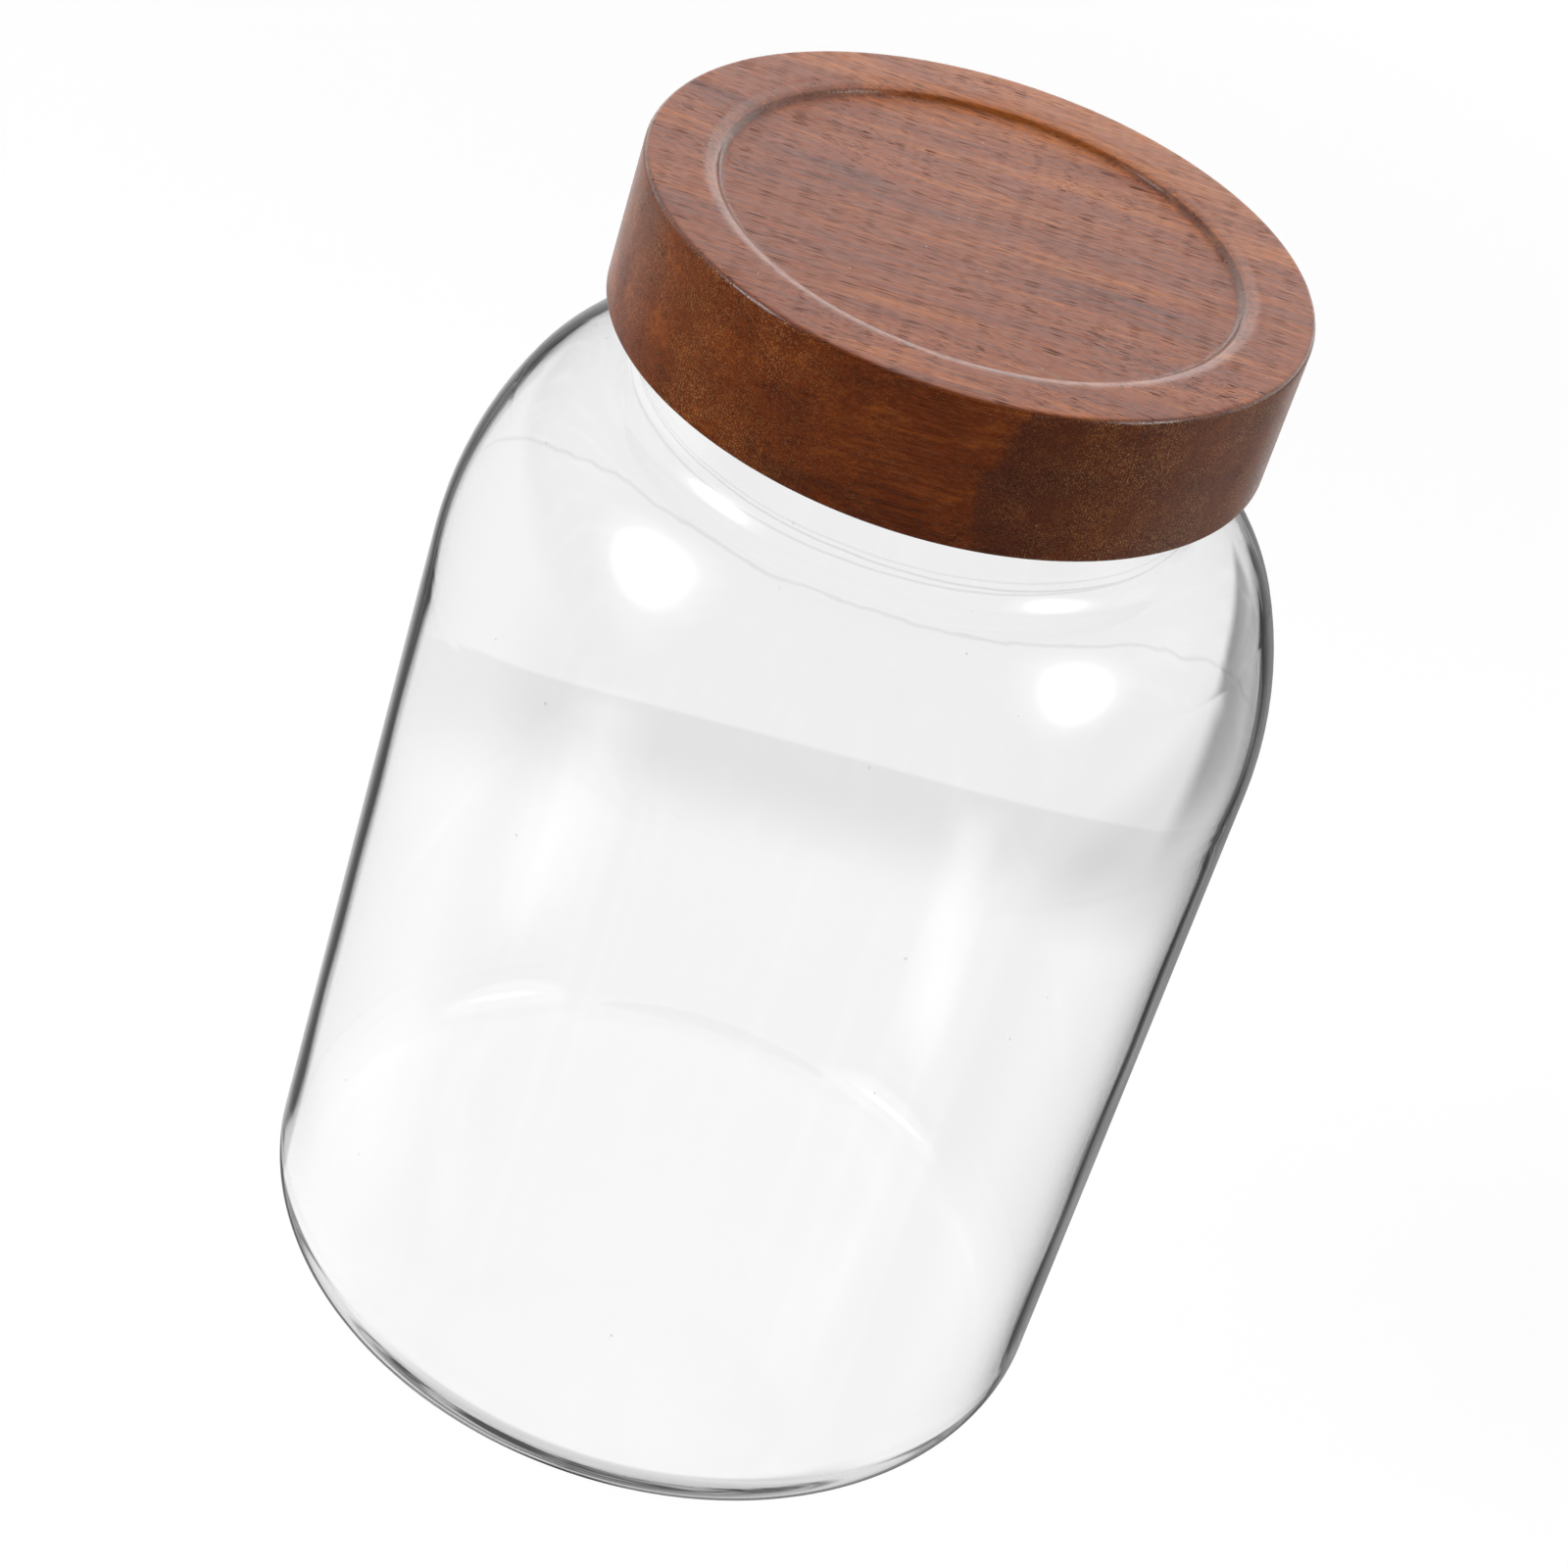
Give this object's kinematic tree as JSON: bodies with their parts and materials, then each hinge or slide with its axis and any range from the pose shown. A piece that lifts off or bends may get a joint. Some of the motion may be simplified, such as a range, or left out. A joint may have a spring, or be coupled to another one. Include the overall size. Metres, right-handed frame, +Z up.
{
  "type": "glass storage jar with wooden screw lid",
  "caption": "Clear glass jar for a sourdough starter, with rounded shoulders, a threaded neck and a turned wooden screw lid lined with a threaded liner and a sealing ring.",
  "frame": {"origin": "centre of the jar's base, on the plane it stands on", "axes": "+Z up along the jar's axis and out of its mouth; the lid's grain runs along X when it is screwed down"},
  "size_m": [0.13, 0.13, 0.2016],
  "materials": {
    "glass": "clear, fire polished",
    "silicone": "translucent white silicone, matte",
    "liner": "moulded, satin",
    "wood": "turned acacia, oiled satin"
  },
  "bodies": {
    "jar": {"glass_jar": "glass"},
    "seal": {"seal_ring": "silicone"},
    "lid": {"wooden_lid": "wood", "threaded_liner": "liner"}
  },
  "joints": [
    {"name": "lid_rise", "type": "slide", "parent": "jar", "child": "seal", "axis": [0, 0, 1], "range_m": [0, 0.0301]},
    {"name": "lid_turn", "type": "hinge", "parent": "seal", "child": "lid", "pos_m": [0, 0, 0.19], "axis": [0, 0, 1], "range_deg": [0, 2160]}
  ],
  "couplings": [
    {"joint": "lid_rise", "follows": "lid_turn", "m_per_rad": 0.00079577}
  ]
}
